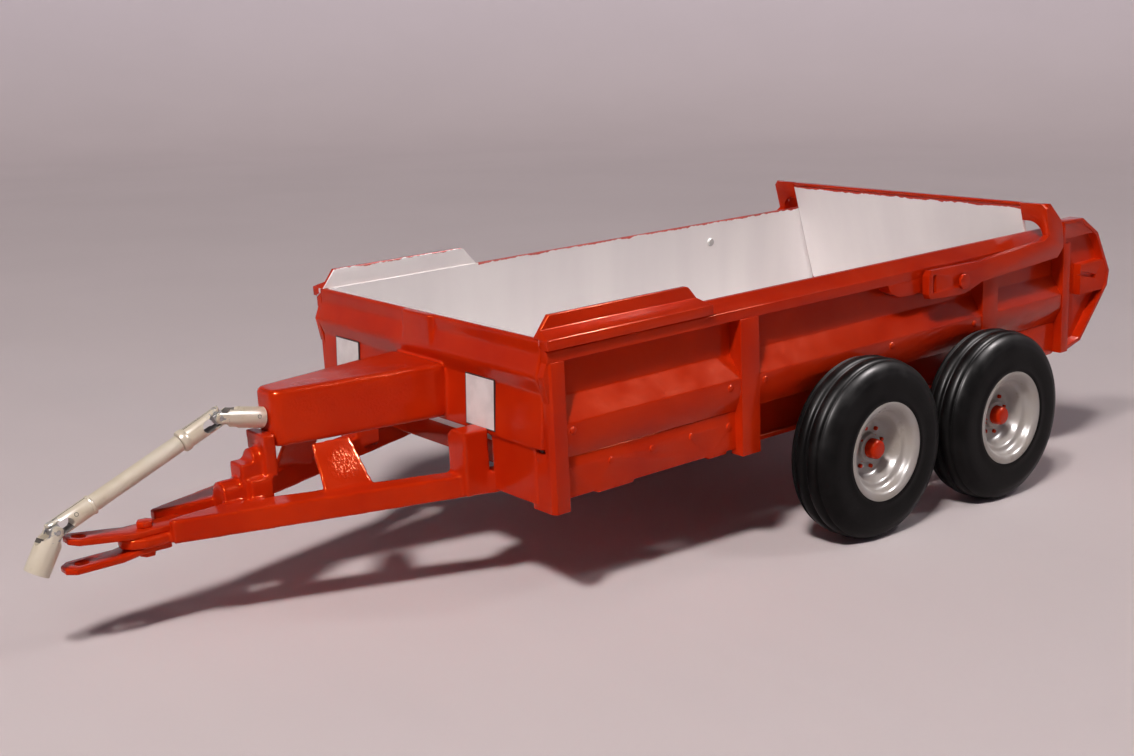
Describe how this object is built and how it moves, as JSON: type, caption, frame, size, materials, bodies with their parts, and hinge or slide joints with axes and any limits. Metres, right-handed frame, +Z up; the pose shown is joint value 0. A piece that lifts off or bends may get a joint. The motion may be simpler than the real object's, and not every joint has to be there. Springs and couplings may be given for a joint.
{
  "type": "toy box spreader",
  "caption": "Toy farm spreader: open box on a tandem axle with a lifting end gate, a rear beater and a jointed driveshaft over the drawbar.",
  "frame": {"origin": "on the ground under the middle of the box round the whole toy", "axes": "+X forwards to the hitch, +Y to the left, +Z up"},
  "size_m": [0.342, 0.1396, 0.0859],
  "materials": {
    "enamel_orange": "glossy orange-red enamel",
    "tub_white": "satin off-white",
    "rim_cream": "satin cream",
    "tyre_black": "soft black rubber",
    "plate_white": "blank white sticker with a thin black edge",
    "cross_grey": "grey moulded plastic",
    "axle_steel": "bare steel"
  },
  "bodies": {
    "spreader": {"beam_brackets": "enamel_orange", "blank_plates": "plate_white", "cross_members": "enamel_orange", "drawbar_beams": "enamel_orange", "drawbar_nose": "enamel_orange", "driveline_housing": "enamel_orange", "extension_board_left": "enamel_orange", "extension_board_right": "enamel_orange", "floor_slats": "tub_white", "frame_rails": "enamel_orange", "front_wall": "enamel_orange", "gate_pivots": "enamel_orange", "hitch_bolt": "axle_steel", "housing_stand": "enamel_orange", "housing_struts": "enamel_orange", "lower_front_panels": "enamel_orange", "lower_strap": "enamel_orange", "posts_left": "enamel_orange", "posts_right": "enamel_orange", "rail_left": "enamel_orange", "rail_right": "enamel_orange", "rear_plate_left": "enamel_orange", "rear_plate_right": "enamel_orange", "side_panel_left": "enamel_orange", "side_panel_right": "enamel_orange", "skirt_left": "enamel_orange", "skirt_right": "enamel_orange", "stub_axles": "axle_steel", "tandem_beams": "enamel_orange", "tandem_pivot": "enamel_orange", "tub": "tub_white", "upper_strap": "enamel_orange"},
    "wheel_front_left": {"tyre_front_left": "tyre_black", "rim_front_left": "rim_cream"},
    "wheel_front_right": {"tyre_front_right": "tyre_black", "rim_front_right": "rim_cream"},
    "wheel_rear_left": {"tyre_rear_left": "tyre_black", "rim_rear_left": "rim_cream"},
    "wheel_rear_right": {"tyre_rear_right": "tyre_black", "rim_rear_right": "rim_cream"},
    "end_gate": {"gate_sheet": "tub_white", "gate_bars": "enamel_orange", "gate_arm_left": "enamel_orange", "gate_arm_right": "enamel_orange"},
    "beater_rotor": {"beater": "enamel_orange"},
    "driveline_rear_yoke": {"pto_rear_yoke": "rim_cream"},
    "driveline_rear_cross": {"pto_rear_cross": "cross_grey"},
    "driveline_sleeve": {"pto_sleeve": "rim_cream"},
    "driveline_tube": {"pto_tube": "rim_cream"},
    "driveline_front_cross": {"pto_front_cross": "cross_grey"},
    "driveline_end_yoke": {"pto_end_yoke": "rim_cream"}
  },
  "joints": [
    {"name": "front_left_wheel_turn", "type": "hinge", "parent": "spreader", "child": "wheel_front_left", "pos_m": [-0.04303, 0.0623, 0.0257], "axis": [0, 1, 0], "continuous": true},
    {"name": "front_right_wheel_turn", "type": "hinge", "parent": "spreader", "child": "wheel_front_right", "pos_m": [-0.04303, -0.0623, 0.0257], "axis": [0, 1, 0], "continuous": true},
    {"name": "rear_left_wheel_turn", "type": "hinge", "parent": "spreader", "child": "wheel_rear_left", "pos_m": [-0.09949, 0.0623, 0.0257], "axis": [0, 1, 0], "continuous": true},
    {"name": "rear_right_wheel_turn", "type": "hinge", "parent": "spreader", "child": "wheel_rear_right", "pos_m": [-0.09949, -0.0623, 0.0257], "axis": [0, 1, 0], "continuous": true},
    {"name": "gate_lift", "type": "hinge", "parent": "spreader", "child": "end_gate", "pos_m": [-0.0895, 0, 0.06661], "axis": [0, 1, 0], "range_deg": [0, 60]},
    {"name": "beater_turn", "type": "hinge", "parent": "spreader", "child": "beater_rotor", "pos_m": [-0.15899, 0, 0.06046], "axis": [0, 1, 0], "continuous": true},
    {"name": "driveline_spin", "type": "hinge", "parent": "spreader", "child": "driveline_rear_yoke", "pos_m": [0.12174, 0, 0.05062], "axis": [0.9854, 0, 0.1704], "continuous": true},
    {"name": "rear_joint_lift", "type": "hinge", "parent": "driveline_rear_yoke", "child": "driveline_rear_cross", "pos_m": [0.12174, 0, 0.05062], "axis": [0, -1, 0], "range_deg": [0, 40]},
    {"name": "rear_joint_swing", "type": "hinge", "parent": "driveline_rear_cross", "child": "driveline_sleeve", "pos_m": [0.12174, 0, 0.05062], "axis": [0.4225, 0, 0.9064], "range_deg": [-5, 5]},
    {"name": "tube_slide", "type": "slide", "parent": "driveline_sleeve", "child": "driveline_tube", "axis": [0.9064, 0, -0.4225], "range_m": [0, 0.008]},
    {"name": "front_joint_swing", "type": "hinge", "parent": "driveline_tube", "child": "driveline_front_cross", "pos_m": [0.16343, 0, 0.03119], "axis": [0.4225, 0, 0.9064], "range_deg": [-10, 10]},
    {"name": "front_joint_lift", "type": "hinge", "parent": "driveline_front_cross", "child": "driveline_end_yoke", "pos_m": [0.16343, 0, 0.03119], "axis": [0, -1, 0], "range_deg": [0, 60]}
  ]
}
